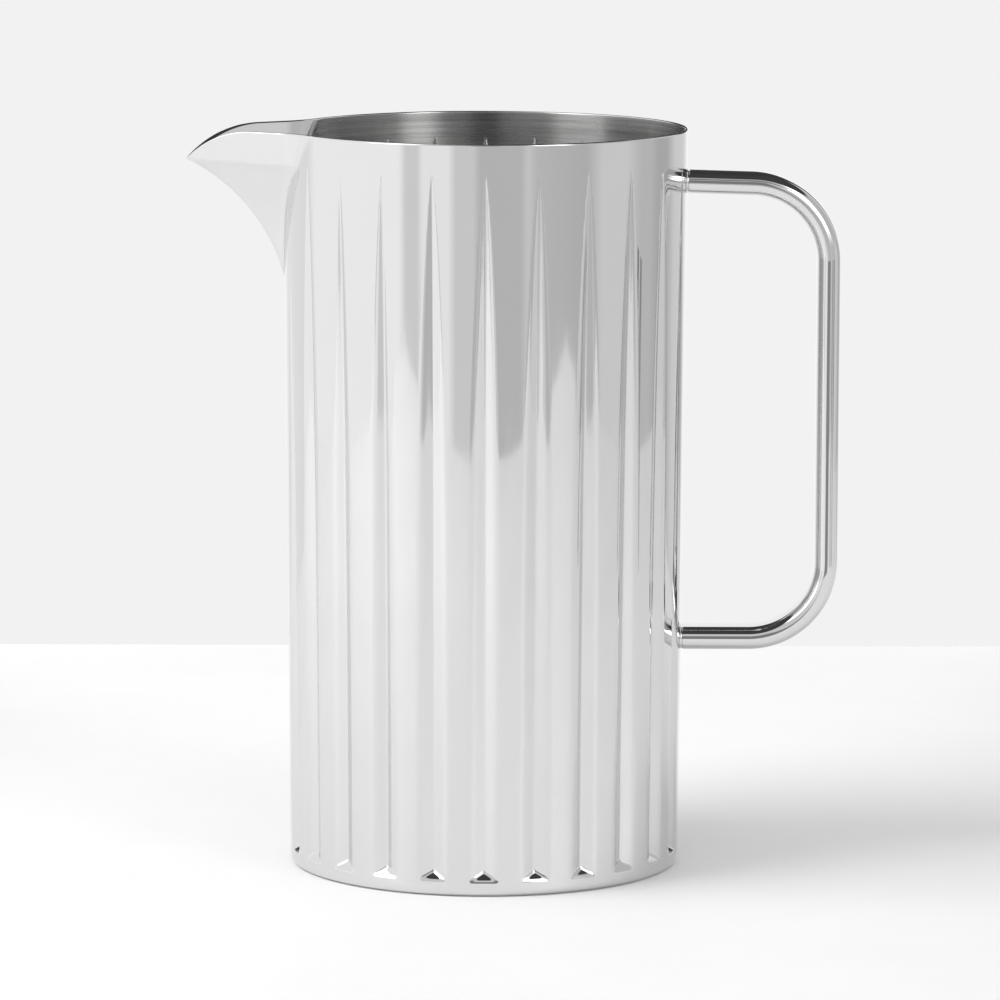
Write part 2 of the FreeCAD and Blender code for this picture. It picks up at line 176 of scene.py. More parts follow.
def grid_faces(rows, columns, wrap_rows=False, wrap_columns=False):
    """Quads over a grid of points numbered row by row."""
    faces = []
    for i in range(rows if wrap_rows else rows - 1):
        row, next_row = i * columns, (i + 1) % rows * columns
        for j in range(columns if wrap_columns else columns - 1):
            next_j = (j + 1) % columns
            faces.append((row + j, row + next_j, next_row + next_j, next_row + j))
    return faces


def side_caps(columns, around, middle):
    """Faces that close both ends of an open sheet, between its outer and inner faces.

    middle is the place in a section loop, halfway over the rim, that it mirrors itself about.
    """
    faces = []
    for column, flip in ((0, True), (columns - 1, False)):
        for step in range(around // 2):
            corners = [middle - step - 1, middle - step, middle + step, middle + step + 1]
            corners = dict.fromkeys(c % around for c in corners)
            face = [column * around + c for c in corners]
            faces.append(face[::-1] if flip else face)
    return faces


def mark_sharp_rings(piece, around, rings):
    """Sharp edges round the given rings, so that a cut end doesn't shade the tube beside it."""
    sharp = set(rings)
    for edge in piece.data.edges:
        rows = {v // around for v in edge.vertices}
        edge.use_edge_sharp = len(rows) == 1 and rows <= sharp


def smooth_max(a, b, width):
    """The larger of two values, rounded over where they are within width of each other."""
    width = np.maximum(width, 1e-6)
    near = np.maximum(width - np.abs(a - b), 0.0) / width
    return np.maximum(a, b) + near * near * width / 4


# ---------------------------------------------------------------- the formed sheet

def wall_radius(height):
    return FOOT_RADIUS + (RIM_RADIUS - FOOT_RADIUS) * height / RIM_HEIGHT


def flute_tip(index):
    """The height of a flute's upper tip: the flutes beside and below the spout end lower."""
    tip = np.where(np.abs(index) == 1, BESIDE_SPOUT_TIP_HEIGHT, FLUTE_TIP_HEIGHT)
    return np.where(index == 0, BELOW_SPOUT_TIP_HEIGHT, tip)


def flute_depth(angle, height, inset):
    """How far a flute is pressed in at a place. Inside the sheet the ridge is a little wider."""
    index = np.round(angle / FLUTE_PITCH)
    across = np.abs(angle - index * FLUTE_PITCH) * wall_radius(height)
    across = np.hypot(across, VALLEY_ROUNDING) - VALLEY_ROUNDING
    below_tip = np.maximum(flute_tip(index) + TIP_MARGIN - height, 0)
    growth = 1 - np.exp(-below_tip / FLUTE_RUN_OUT)
    growth = np.where(np.abs(index) == PLAIN_FLUTE_INDEX, 0.0, growth)
    slope = FLUTE_DEPTH / FLUTE_HALF_WIDTH
    parallel = inset * (math.hypot(1, slope) - 1)
    depth = FLUTE_DEPTH * growth + parallel * np.sign(growth) - slope * across
    above_foot = height + FOOT_INSET_SHARE * inset - FLUTE_FOOT_HEIGHT
    facet = above_foot * FLUTE_DEPTH / FLUTE_FOOT_RISE
    depth = -smooth_max(-depth, -facet, FACET_ROUNDING)
    shoulder = np.minimum(SHOULDER_ROUNDING, FLUTE_DEPTH * growth / 2)
    return np.where(growth > 0, smooth_max(depth, 0.0, shoulder), 0.0)


def keel_reach(height, inset):
    """How far the keel stands from the axis: an arc up to the tip, and straight above it."""
    centre_reach = SPOUT_REACH + KEEL_RADIUS * math.sin(KEEL_TIP_SLOPE)
    centre_height = SPOUT_TIP_HEIGHT - KEEL_RADIUS * math.cos(KEEL_TIP_SLOPE)
    rise = np.maximum(0.0, np.minimum(height, SPOUT_TIP_HEIGHT) - centre_height)
    level_distance = np.sqrt(KEEL_RADIUS ** 2 - rise ** 2)
    fold_shift = inset / math.sin(SPOUT_HALF_ANGLE) - inset
    lean_shift = inset * np.minimum(KEEL_RADIUS / level_distance, LEAN_LIMIT)
    flare = (SPOUT_RIM_REACH - SPOUT_REACH) / (RIM_HEIGHT - SPOUT_TIP_HEIGHT)
    above = np.maximum(0.0, height - SPOUT_TIP_HEIGHT)
    return centre_reach - level_distance - fold_shift - lean_shift + flare * above


def beak_radius(angle, height, inset):
    """The distance from the axis of the two flat sides of the beak, folded at the keel."""
    reach = keel_reach(height, inset)
    softness = KEEL_EDGE_RADIUS / (reach * math.tan(SPOUT_HALF_ANGLE))
    side = np.hypot(np.sin(angle), softness) - softness
    ahead = np.cos(np.minimum(np.abs(angle), SPOUT_ANGLE_LIMIT))
    fold_sine, fold_cosine = math.sin(SPOUT_HALF_ANGLE), math.cos(SPOUT_HALF_ANGLE)
    return reach * fold_sine / (fold_sine * ahead + fold_cosine * side)


def formed_radius(angle, height, inset):
    """The distance from the axis of the fluted wall with the folded beak growing out of it."""
    wall = wall_radius(height) - inset - flute_depth(angle, height, inset)
    beak = beak_radius(angle, height, inset)
    share = (height - CUTOUT_FOOT_HEIGHT) / (RIM_HEIGHT - CUTOUT_FOOT_HEIGHT)
    joined = smooth_max(wall, beak, SPOUT_BLEND * np.clip(share, 0.0, 1.0))
    in_spout = (np.abs(angle) < SPOUT_ANGLE_LIMIT) & (height > SPOUT_START_HEIGHT)
    return np.where(in_spout, joined, wall)


def sheet_point(angle, height, inset=0.0):
    radius = formed_radius(angle, height, inset)
    return np.stack([-radius * np.cos(angle), radius * np.sin(angle), height + 0 * radius], axis=-1)


def sheet_normal(angle, height, inset=0.0):
    """The direction out of the sheet's outer face, from differences along both directions."""
    turn, rise = 3e-4, 0.03
    round_way = sheet_point(angle + turn, height, inset) - sheet_point(angle - turn, height, inset)
    up_way = sheet_point(angle, height + rise, inset) - sheet_point(angle, height - rise, inset)
    normal = np.cross(up_way, round_way)
    return normal / np.linalg.norm(normal, axis=-1, keepdims=True)


def lip_height(angle_at):
    """The height of the rim where a rising line of the sheet meets it.

    The rim is level round the body and drops in an arc at the lip. angle_at gives the line's
    angle at each height. The line leans outward, so halving an interval finds where they meet.
    """
    low = np.full_like(angle_at(RIM_HEIGHT), SPOUT_START_HEIGHT)
    high = np.full_like(low, RIM_HEIGHT)
    for _ in range(LIP_HALVINGS):
        height = (low + high) / 2
        angle = angle_at(height)
        reach = formed_radius(angle, height, 0.0) * np.cos(angle)
        beyond = np.clip(reach - LIP_DROP_START, 0.0, LIP_DROP_RADIUS)
        rim = RIM_HEIGHT - LIP_DROP_RADIUS + np.sqrt(LIP_DROP_RADIUS ** 2 - beyond ** 2)
        low = np.where(height < rim, height, low)
        high = np.where(height < rim, high, height)
    return (low + high) / 2


def seam_angle(height, margin):
    """The angle of the V-shaped seam of the spout at a height, grown by a margin."""
    share = (height - CUTOUT_FOOT_HEIGHT + margin) / (RIM_HEIGHT - CUTOUT_FOOT_HEIGHT + margin)
    widening = CUTOUT_RIM_HALF_WIDTH - CUTOUT_FOOT_HALF_WIDTH
    half_width = CUTOUT_FOOT_HALF_WIDTH + widening * share + margin
    angle = half_width / RIM_RADIUS
    for _ in range(SEAM_ROUNDS):
        angle = np.arcsin(half_width / formed_radius(angle, height, 0.0))
    return angle


def seam_height(angle, margin):
    """The height of the same seam at an angle."""
    foot = CUTOUT_FOOT_HEIGHT - margin
    steepness = (RIM_HEIGHT - foot) / (CUTOUT_RIM_HALF_WIDTH - CUTOUT_FOOT_HALF_WIDTH)
    height = np.full_like(angle, CUTOUT_FOOT_HEIGHT)
    for _ in range(SEAM_ROUNDS):
        half_width = formed_radius(angle, height, 0.0) * np.sin(np.abs(angle))
        height = foot + (half_width - CUTOUT_FOOT_HALF_WIDTH - margin) * steepness
        height = np.clip(height, foot, RIM_HEIGHT)
    return height


def rounded_edge(middle, half, outward, crown, turns):
    """Points and normals over the sheet's edge, each (along the edge's curve, column, xyz)."""
    points = [middle + half * math.cos(t) + UP * crown * math.sin(t) for t in turns]
    normals = [outward * math.cos(t) + UP * math.sin(t) for t in turns]
    return np.array(points), np.array(normals)


def sheet_loops(angle, height, crown):
    """Closed section loops of the sheet, one for each column of a grid of places.

    A loop runs up the outer face, over the edge, which is rounded where crown is above 0, and
    down the inner face. Returns points and normals, each (column, along the loop, xyz).
    """
    outer, inner = sheet_point(angle, height), sheet_point(angle, height, GAUGE)
    outward, inward = sheet_normal(angle, height), -sheet_normal(angle, height, GAUGE)
    middle, half = (outer[-1] + inner[-1]) / 2, (outer[-1] - inner[-1]) / 2
    edge, edge_normals = rounded_edge(middle, half, outward[-1], crown[:, None], CROWN_TURNS)
    points = np.concatenate([outer, edge, inner[::-1]])
    normals = np.concatenate([outward, edge_normals, inward[::-1]])
    return points.transpose(1, 0, 2), normals.transpose(1, 0, 2)


# ---------------------------------------------------------------- body shell and spout

def shell_columns():
    """Angles round the body, close together in the flutes and by the spout's seam."""
    beside = np.array(FLUTE_COLUMNS)
    steps = np.radians(np.unique(np.concatenate([-beside[:-1], beside])))
    places = range(-PLAIN_FLUTE_INDEX, PLAIN_FLUTE_INDEX)
    in_flutes = np.concatenate([place * FLUTE_PITCH + steps for place in places])
    by_spout = np.radians(np.arange(-SPOUT_SIDE_COLUMNS, SPOUT_SIDE_COLUMNS + 1))
    seam_ends = np.array([CUTOUT_FOOT_HEIGHT - WELD_WIDTH, RIM_HEIGHT])
    at_seam = seam_angle(seam_ends, WELD_WIDTH)
    angles = np.concatenate([in_flutes, by_spout, at_seam, -at_seam])
    angles = np.sort((angles + math.pi) % (2 * math.pi) - math.pi)
    keep = np.concatenate([[True], np.diff(angles) > LEAST_COLUMN_GAP])
    return angles[keep]


def shell_heights(angles):
    """The rows' heights in each column of the wall, and how far each column's edge is crowned.

    The rows above a fixed height are spread to end at the rim, the lip or the spout's cut-out.
    """
    lip = lip_height(lambda height: angles + 0 * height)
    in_cutout = np.abs(angles) < seam_angle(RIM_HEIGHT, WELD_WIDTH) - 1e-4
    top = np.where(in_cutout, seam_height(angles, WELD_WIDTH), lip)
    crown = np.where(in_cutout, 0.0, GAUGE / 2)
    rows = np.concatenate([np.arange(*zone) for zone in ROW_ZONES] + [[RIM_HEIGHT]])
    rows = rows[:, None] + 0 * top[None, :]
    stretch = (top - crown - STRETCH_START) / (RIM_HEIGHT - STRETCH_START)
    spread = STRETCH_START + (rows - STRETCH_START) * stretch[None, :]
    return np.where(rows > STRETCH_START, spread, rows), crown


def make_body_shell(outside, inside):
    angles = shell_columns()
    heights, crown = shell_heights(angles)
    grid = np.broadcast_to(angles, heights.shape)
    points, normals = sheet_loops(grid, heights, crown)
    columns, around = points.shape[:2]
    faces = grid_faces(columns, around, wrap_rows=True, wrap_columns=True)
    inner_start = len(heights) + len(CROWN_TURNS) - 1
    is_inner = [int(inner_start <= k % around < around - 1) for k in range(len(faces))]
    piece = make_piece("fluted_wall", points.reshape(-1, 3), faces, [outside, inside], is_inner,
                       normals.reshape(-1, 3))
    stand_for(piece, "body_shell")


def make_spout(outside):
    """The folded beak. Its columns crowd together towards the keel."""
    span = np.linspace(-1, 1, SPOUT_COLUMNS)
    share = np.sign(span) * np.abs(span) ** KEEL_CROWDING
    top = lip_height(lambda height: share * seam_angle(height, 0.0))
    crown = np.full_like(share, GAUGE / 2)
    rows = np.linspace(0, 1, SPOUT_ROWS)[:, None]
    heights = CUTOUT_FOOT_HEIGHT + rows * (top - crown - CUTOUT_FOOT_HEIGHT)[None, :]
    angles = share[None, :] * seam_angle(heights, 0.0)
    points, normals = sheet_loops(angles, heights, crown)
    columns, around = points.shape[:2]
    faces = grid_faces(columns, around, wrap_columns=True)
    faces += side_caps(columns, around, around // 2)
    piece = make_piece("beak_spout", points.reshape(-1, 3), faces, [outside],
                       normals=normals.reshape(-1, 3))
    stand_for(piece, "spout")


def seam_path(margin):
    """The seam as (angle, height) places: down one side, across the foot and up the other."""
    foot = CUTOUT_FOOT_HEIGHT - margin
    down = np.linspace(RIM_HEIGHT - GAUGE / 2, foot, SEAM_SIDE_STEPS)
    half = seam_angle(down, margin)
    across = np.linspace(half[-1], -half[-1], SEAM_FOOT_STEPS)[1:-1]
    angle = np.concatenate([half, across, -half[::-1]])
    height = np.concatenate([down, np.full_like(across, foot), down[::-1]])
    return np.array([angle, height])


def make_spout_weld(dressed):
    """The thin V of filler, its outer and inner faces running on from the sheets beside it.

    Its section loops run along the outer face, over one end at the rim, back along the inner
    face and over the other end.
    """
    near, far = seam_path(0.0), seam_path(WELD_WIDTH)
    shares = np.array([1.0, 0.5, 0.0])[:, None]
    angle, height = (near[k] + (far[k] - near[k]) * shares for k in range(2))
    outer, inner = sheet_point(angle, height), sheet_point(angle, height, GAUGE)
    outward, inward = sheet_normal(angle, height), -sheet_normal(angle, height, GAUGE)
    ends = []
    for end, turns in ((-1, CROWN_TURNS), (0, CROWN_TURNS[::-1])):
        middle, half = (outer[:, end] + inner[:, end]) / 2, (outer[:, end] - inner[:, end]) / 2
        edge = rounded_edge(middle, half, outward[:, end], GAUGE / 2, turns)
        ends.append([part.transpose(1, 0, 2) for part in edge])
    points = np.concatenate([outer, ends[0][0], inner[:, ::-1], ends[1][0]], axis=1)
    normals = np.concatenate([outward, ends[0][1], inward[:, ::-1], ends[1][1]], axis=1)
    lines, around = points.shape[:2]
    faces = grid_faces(lines, around, wrap_columns=True)
    faces += side_caps(lines, around, outer.shape[1] + len(CROWN_TURNS) // 2)
    piece = make_piece("spout_seam", points.reshape(-1, 3), faces, [dressed],
                       normals=normals.reshape(-1, 3))
    stand_for(piece, "spout_weld")


# ---------------------------------------------------------------- bottom

def arc(centre, radius, start, end, steps):
    """Points on an arc between two angles in degrees."""
    turns = np.radians(np.linspace(start, end, steps))
    return [(centre[0] + radius * math.cos(t), centre[1] + radius * math.sin(t)) for t in turns]


def profile_normals(profile):
    """Normals (r, z) along a profile that runs with the metal on its left."""
    along = np.gradient(np.array(profile), axis=0)
    across = np.stack([along[:, 1], -along[:, 0]], axis=1)
    return across / np.linalg.norm(along, axis=1)[:, None]


def lathe(profile, normals):
    """Points, faces and normals of a profile (r, z) turned round the axis.

    A profile that starts and ends on the axis gets a pole at each end, and any other is closed.
    """
    turns = np.linspace(0, 2 * math.pi, LATHE_SEGMENTS, endpoint=False)
    ring = [(place, normal) for place, normal in zip(profile, normals) if place[0] > 0]
    points = [(r * math.cos(t), r * math.sin(t), z) for (r, z), _ in ring for t in turns]
    directions = [(r * math.cos(t), r * math.sin(t), z) for _, (r, z) in ring for t in turns]
    has_poles = profile[0][0] == 0
    faces = grid_faces(len(ring), LATHE_SEGMENTS, wrap_rows=not has_poles, wrap_columns=True)
    pole_rings = ((0, 0, True), (-1, len(ring) - 1, False)) if has_poles else ()
    for end, row, flip in pole_rings:
        pole = len(points)
        points.append((0.0, 0.0, profile[end][1]))
        directions.append((0.0, 0.0, math.copysign(1.0, normals[end][1])))
        first = row * LATHE_SEGMENTS
        for k in range(LATHE_SEGMENTS):
            pair = (first + k, first + (k + 1) % LATHE_SEGMENTS)
            faces.append((pole, *(pair[::-1] if flip else pair)))
    return points, faces, directions


def pan_side(lift, heel, height):
    """One face of the pan, from the axis out to its upper edge; lift is the gauge for the inside."""
    ring_out = FOOT_RADIUS - HEEL_RADIUS
    slope = math.degrees(math.atan2(PAN_RISE, RING_STEP))
    bend_run = STEP_BEND_RADIUS * math.tan(math.radians(slope / 2))
    crest_centre = (RING_INNER_RADIUS - RING_STEP - bend_run, PAN_RISE + lift - STEP_BEND_RADIUS)
    dip_centre = (RING_INNER_RADIUS + bend_run, lift + STEP_BEND_RADIUS)
    flat = [(r, PAN_RISE + lift) for r in PAN_FLAT_RADII]
    crest = arc(crest_centre, STEP_BEND_RADIUS, 90, 90 - slope, STEP_BEND_POINTS)
    dip = arc(dip_centre, STEP_BEND_RADIUS, 270 - slope, 270, STEP_BEND_POINTS)
    heel_arc = arc((ring_out, HEEL_RADIUS), heel, -90, 0, HEEL_POINTS)
    return flat + crest + dip + heel_arc + [(ring_out + heel, height)]


def make_base_pan(outside, inside):
    lower = pan_side(0.0, HEEL_RADIUS, PAN_HEIGHT)
    upper = pan_side(GAUGE, HEEL_RADIUS - GAUGE, PAN_HEIGHT)[::-1]
    normals = np.concatenate([profile_normals(lower), profile_normals(upper)])
    points, faces, directions = lathe(lower + upper, normals)
    upper_start = (len(lower) - 1) * LATHE_SEGMENTS
    is_upper = [int(min(face) >= upper_start) for face in faces]
    piece = make_piece("bottom_pan", points, faces, [outside, inside], is_upper, directions)
    stand_for(piece, "base_pan")


def make_base_weld(dressed):
    low, high = PAN_HEIGHT, PAN_HEIGHT + WELD_WIDTH
    profile = [(FOOT_RADIUS - GAUGE, low), (FOOT_RADIUS, low),
               (wall_radius(high), high), (wall_radius(high) - GAUGE, high)]
    normals = [(-1.0, 0.0), (1.0, 0.0), (1.0, 0.0), (-1.0, 0.0)]
    points, faces, directions = lathe(profile, normals)
    piece = make_piece("base_seam", points, faces, [dressed], normals=directions)
    stand_for(piece, "base_weld")


# ---------------------------------------------------------------- handle

def handle_path():
    """The tube's centre line in the XZ plane, from the wall, round the grip and back."""
    slope = HANDLE_TOP_SLOPE
    bend_run = HANDLE_BEND_RADIUS * math.tan((math.pi / 2 - slope) / 2)
    bend_x = HANDLE_REACH - HANDLE_BEND_RADIUS
    start = RIM_RADIUS - 2 * GAUGE
    top_start = (start, HANDLE_TOP_HEIGHT + (HANDLE_REACH - start) * math.tan(slope))
    upper_centre = (bend_x, HANDLE_TOP_HEIGHT - bend_run)
    lower_centre = (bend_x, HANDLE_BOTTOM_HEIGHT + HANDLE_BEND_RADIUS)
    upper = arc(upper_centre, HANDLE_BEND_RADIUS, 90 - math.degrees(slope), 0, BEND_POINTS)
    lower = arc(lower_centre, HANDLE_BEND_RADIUS, 0, -90, BEND_POINTS)
    return [top_start] + upper + lower + [(start, HANDLE_BOTTOM_HEIGHT)]


def oval(thickness, width, crease_depth=0.0):
    """A flat oval as (outward, sideways) offsets. A fine crease may run along both round sides."""
    half_flat = (width - thickness) / 2
    even = np.linspace(-math.pi / 2, math.pi / 2, OVAL_SIDE_POINTS)
    near_crease = HANDLE_CREASE_HALF_WIDTH * np.linspace(-CREASE_REACH, CREASE_REACH, CREASE_POINTS)
    turns = np.sort(np.concatenate([even, HANDLE_CREASE_TURN + near_crease]))
    off_crease = (turns - HANDLE_CREASE_TURN) / HANDLE_CREASE_HALF_WIDTH
    radius = thickness / 2 - crease_depth * np.exp(-off_crease ** 2)
    outward, sideways = radius * np.sin(turns), half_flat + radius * np.cos(turns)
    right, left = np.stack([outward, sideways], axis=1), np.stack([outward, -sideways], axis=1)
    return np.concatenate([right, left[::-1]])


def path_frames(path):
    """The outward direction at each point of a path in the XZ plane."""
    path = np.array(path)
    along = np.gradient(path, axis=0)
    along[0], along[-1] = path[1] - path[0], path[-1] - path[-2]
    along /= np.linalg.norm(along, axis=1, keepdims=True)
    return np.stack([-along[:, 1], along[:, 0]], axis=1)


def trim_to_wall(ring, clearance, slope):
    """Slides a ring's points along the leg, which rises by slope towards the wall, up to the wall."""
    for _ in range(TRIM_ROUNDS):
        x = np.sqrt((wall_radius(ring[:, 2]) + clearance) ** 2 - ring[:, 1] ** 2)
        ring[:, 2] -= (x - ring[:, 0]) * slope
        ring[:, 0] = x


def swept(path, section):
    """Rings of a section along the path, with both end rings trimmed to the welds."""
    rings = []
    for (x, z), (normal_x, normal_z) in zip(path, path_frames(path)):
        offsets = section[:, 0]
        ring = [x + normal_x * offsets, section[:, 1], z + normal_z * offsets]
        rings.append(np.stack(ring, axis=1))
    trim_to_wall(rings[0], HANDLE_WELD_WIDTH, math.tan(HANDLE_TOP_SLOPE))
    trim_to_wall(rings[-1], HANDLE_WELD_WIDTH, 0.0)
    return rings


def make_ring_piece(name, rings, sharp_rings, material):
    """A closed piece from rings of points, the last joined to the first."""
    rings = np.array(rings)
    faces = grid_faces(*rings.shape[:2], wrap_rows=True, wrap_columns=True)
    piece = make_piece(name, rings.reshape(-1, 3), faces, [material])
    mark_sharp_rings(piece, rings.shape[1], sharp_rings)
    return piece


def make_handle_tube(polished):
    path = handle_path()
    bore = oval(HANDLE_THICKNESS - 2 * HANDLE_GAUGE, HANDLE_WIDTH - 2 * HANDLE_GAUGE)
    outer = swept(path, oval(HANDLE_THICKNESS, HANDLE_WIDTH, HANDLE_CREASE_DEPTH))
    inner = swept(path, bore)
    cut_ends = (0, len(path) - 1, len(path), 2 * len(path) - 1)
    piece = make_ring_piece("loop_handle", outer + inner[::-1], cut_ends, polished)
    stand_for(piece, "handle_tube")


def make_handle_weld(name, node, start, slope, dressed):
    """The filler between one end of the tube and the wall, with a shallow waist."""
    bore = [(HANDLE_WELD_WIDTH, HANDLE_GAUGE), (0.0, HANDLE_GAUGE)]
    rings = []
    for clearance, depth in HANDLE_WELD_WAIST + bore:
        section = oval(HANDLE_THICKNESS - 2 * depth, HANDLE_WIDTH - 2 * depth)
        x = np.full(len(section), start[0])
        ring = np.stack([x, section[:, 1], start[1] + section[:, 0]], axis=1)
        trim_to_wall(ring, clearance, slope)
        rings.append(ring)
    last_outer = len(HANDLE_WELD_WAIST) - 1
    corners = (0, last_outer, last_outer + 1, last_outer + 2)
    piece = make_ring_piece(name, rings, corners, dressed)
    stand_for(piece, node)


# ---------------------------------------------------------------- materials

METAL = (0.72, 0.72, 0.718)
SATIN_METAL = (0.5, 0.5, 0.495)
BLACK = (0.0, 0.0, 0.0, 1.0)


class Nodes:
    """Short calls for building a node tree."""

    def __init__(self, tree):
        self.tree = tree
        tree.nodes.clear()

    def add(self, kind, inputs=None, **settings):
        node = self.tree.nodes.new(kind)
        for name, value in settings.items():
            setattr(node, name, value)
        for name, value in (inputs or {}).items():
            if isinstance(value, bpy.types.NodeSocket):
                self.tree.links.new(value, node.inputs[name])
            else:
                node.inputs[name].default_value = value
        return node

    def math(self, operation, *values):
        return self.add("ShaderNodeMath", dict(enumerate(values)), operation=operation).outputs[0]

    def mix(self, factor, a, b):
        inputs = {"Factor": factor, "A": a, "B": b}
        return self.add("ShaderNodeMix", inputs, data_type="RGBA").outputs["Result"]

    def remap(self, value, low, high, to_low, to_high):
        inputs = {"Value": value, "From Min": low, "From Max": high}
        inputs |= {"To Min": to_low, "To Max": to_high}
        return self.add("ShaderNodeMapRange", inputs).outputs["Result"]

    def ramp(self, value, stops):
        """A grey that runs straight between stops of (place, level)."""
        node = self.add("ShaderNodeValToRGB", {"Fac": value})
        elements = node.color_ramp.elements
        while len(elements) < len(stops):
            elements.new(0.5)
        for element, (place, _) in zip(elements, stops):
            element.position = place
        for element, (_, level) in zip(elements, stops):
            element.color = grey(level)
        return node.outputs["Color"]

    def noise(self, vector, scale, detail=3.0, rough=0.5):
        inputs = {"Vector": vector, "Scale": scale, "Detail": detail, "Roughness": rough}
        return self.add("ShaderNodeTexNoise", inputs).outputs["Fac"]

    def place(self):
        """The point itself, in metres in the CAD frame."""
        return self.add("ShaderNodeTexCoord").outputs["Object"]

    def scaled(self, vector, scale):
        return self.add("ShaderNodeMapping", {"Vector": vector, "Scale": scale}).outputs["Vector"]

    def surface(self, shader):
        self.add("ShaderNodeOutputMaterial", {"Surface": shader.outputs[0]})


def grey(level):
    return (level, level, level, 1.0)


def new_material(name):
    material = bpy.data.materials.new(name)
    material.use_nodes = True
    return material, Nodes(material.node_tree)


def metal(n, base, roughness, bump, **more):
    """Ends a material in bare metal, with any further inputs of its shader."""
    inputs = {"Base Color": base, "Metallic": 1.0, "Roughness": roughness}
    inputs["Normal"] = bump.outputs["Normal"]
    n.surface(n.add("ShaderNodeBsdfPrincipled", inputs | more))


def polished_metal(name, roughness, waviness):
    """Mirror polish: faint wiping marks in the gloss, and the slight waviness of pressed sheet."""
    material, n = new_material(name)
    place = n.place()
    smudge = n.noise(place, scale=38.0, detail=4.0, rough=0.6)
    wipe = n.noise(n.scaled(place, (1.0, 1.0, 0.12)), scale=420.0)
    patchy = n.math("MULTIPLY", smudge, wipe)
    gloss = n.remap(patchy, 0.12, 0.45, roughness, roughness * 2.2)
    tone = n.remap(smudge, 0.3, 0.7, 0.985, 1.0)
    wave = n.noise(place, scale=55.0, detail=1.5, rough=0.4)
    bump = n.add("ShaderNodeBump", {"Height": wave, "Strength": 1.0, "Distance": waviness * MM})
    metal(n, n.mix(tone, BLACK, (*METAL, 1.0)), gloss, bump)
    return material


def brushed_metal(name, roughness):
    """Satin finish brushed round the body: streaks that are long round it and fine up it."""
    material, n = new_material(name)
    xyz = n.add("ShaderNodeSeparateXYZ", {"Vector": n.place()})
    turn = n.math("ARCTAN2", xyz.outputs["Y"], xyz.outputs["X"])
    around = n.math("MULTIPLY", turn, RIM_RADIUS * MM)

    def streaks(across, up, detail, rough):
        """Noise with this many features per metre round the body and up it."""
        stretched = n.add("ShaderNodeCombineXYZ", {
            "X": n.math("MULTIPLY", around, across), "Y": n.math("MULTIPLY", xyz.outputs["Z"], up)})
        return n.noise(stretched.outputs["Vector"], 1.0, detail, rough)

    fine = streaks(across=12.0, up=900.0, detail=5.0, rough=0.65)
    broad = streaks(across=5.0, up=130.0, detail=3.0, rough=0.55)
    mixed = n.math("ADD", n.math("MULTIPLY", fine, 0.65), n.math("MULTIPLY", broad, 0.35))
    gloss = n.remap(mixed, 0.3, 0.7, roughness * 0.75, roughness * 1.3)
    shade = n.remap(mixed, 0.3, 0.7, 0.75, 1.0)
    bump = n.add("ShaderNodeBump", {"Height": mixed, "Strength": 0.5, "Distance": 0.02 * MM})
    round_way = n.add("ShaderNodeTangent", direction_type="RADIAL", axis="Z")
    brushing = {"Anisotropic": 0.85, "Anisotropic Rotation": 0.25, "Tangent": round_way.outputs[0]}
    metal(n, n.mix(shade, BLACK, (*SATIN_METAL, 1.0)), gloss, bump, **brushing)
    return material


def dressed_metal(name, roughness):
    """A ground and polished weld: like the sheet, with fine grinding lines left in it."""
    material, n = new_material(name)
    grit = n.noise(n.scaled(n.place(), (0.3, 1.0, 3.0)), scale=1600.0, detail=2.0)
    gloss = n.remap(grit, 0.3, 0.7, roughness, roughness * 2.5)
    bump = n.add("ShaderNodeBump", {"Height": grit, "Strength": 0.3, "Distance": 0.004 * MM})
    metal(n, (*METAL, 1.0), gloss, bump)
    return material


# ---------------------------------------------------------------- studio

# The surroundings are given by direction, in degrees. Azimuth 0 is the camera's side, and it
# grows towards the handle. Card tones are display tones as the metal shows them, from 0 to 255.
BACKDROP_TONE = 242
CARD_TONES = [
    (-180, 215), (-122, 215), (-114, 232), (-50, 232), (-46, 200), (-39, 200), (-36, 225),
    (-21, 225), (-17, 197), (-7, 197), (-3, 177), (20, 177), (24, 195), (29, 180), (59, 171),
    (70, 197), (87, 197), (100, 178), (108, 178), (116, 165), (126, 165), (137, 195), (152, 195),
    (180, 240),
]
WINDOW_LEVELS = [
    (-180, 1.0), (-75, 1.0), (-66, 3.2), (-46, 3.2), (-38, 0.75), (26, 0.75), (35, 4.5), (47, 4.5),
    (54, 0.9), (70, 0.6), (115, 0.6), (140, 1.0), (180, 1.0),
]
ROOF_LEVELS = [(-140, 0.06), (-133, 1.4), (-60, 1.4), (-52, 0.06)]
WINDOW_SILL = [(2, 0), (12, 1)]
ROOF_EDGE = [(43, 0), (47, 1)]
FILL_LEVEL = 0.70

# Gaps between the cards (azimuth stops, elevation stops, level of the room seen there).
GAPS = [
    ([(-9, 0), (-7, 1), (7, 1), (9, 0)], [(-3.5, 0), (-2.5, 1), (22, 1), (27, 0)], 0.25),
    ([(-150, 1), (-140, 0), (140, 0), (150, 1)], [(1, 0), (3, 1), (90, 1)], 0.05),
]

TABLE_HALF_WIDTH = 0.95
TABLE_FRONT = -0.92
TABLE_BACK = 0.397

BACK_CARD_LOW = (-0.2, 0.42, 0.0)
BACK_CARD_HIGH = (0.2, 0.42, 0.25)
BACK_CARD_LEVEL = 1.0

# Strips in front of the grip (name, left and right of the grip's middle, level).
STRIPS = [("grey_strip", -0.006, 0.006, 0.3), ("dark_strip", 0.0205, 0.033, 0.05)]
STRIP_PLANE = -0.03
STRIP_FOOT_MARGIN = 0.02
STRIP_TOP_MARGIN = 0.03

KEY_LIGHT_PLACE = (-1.0, -0.35, 1.4)
KEY_LIGHT_DIAMETER = 1.1
KEY_LIGHT_POWER = 14.5

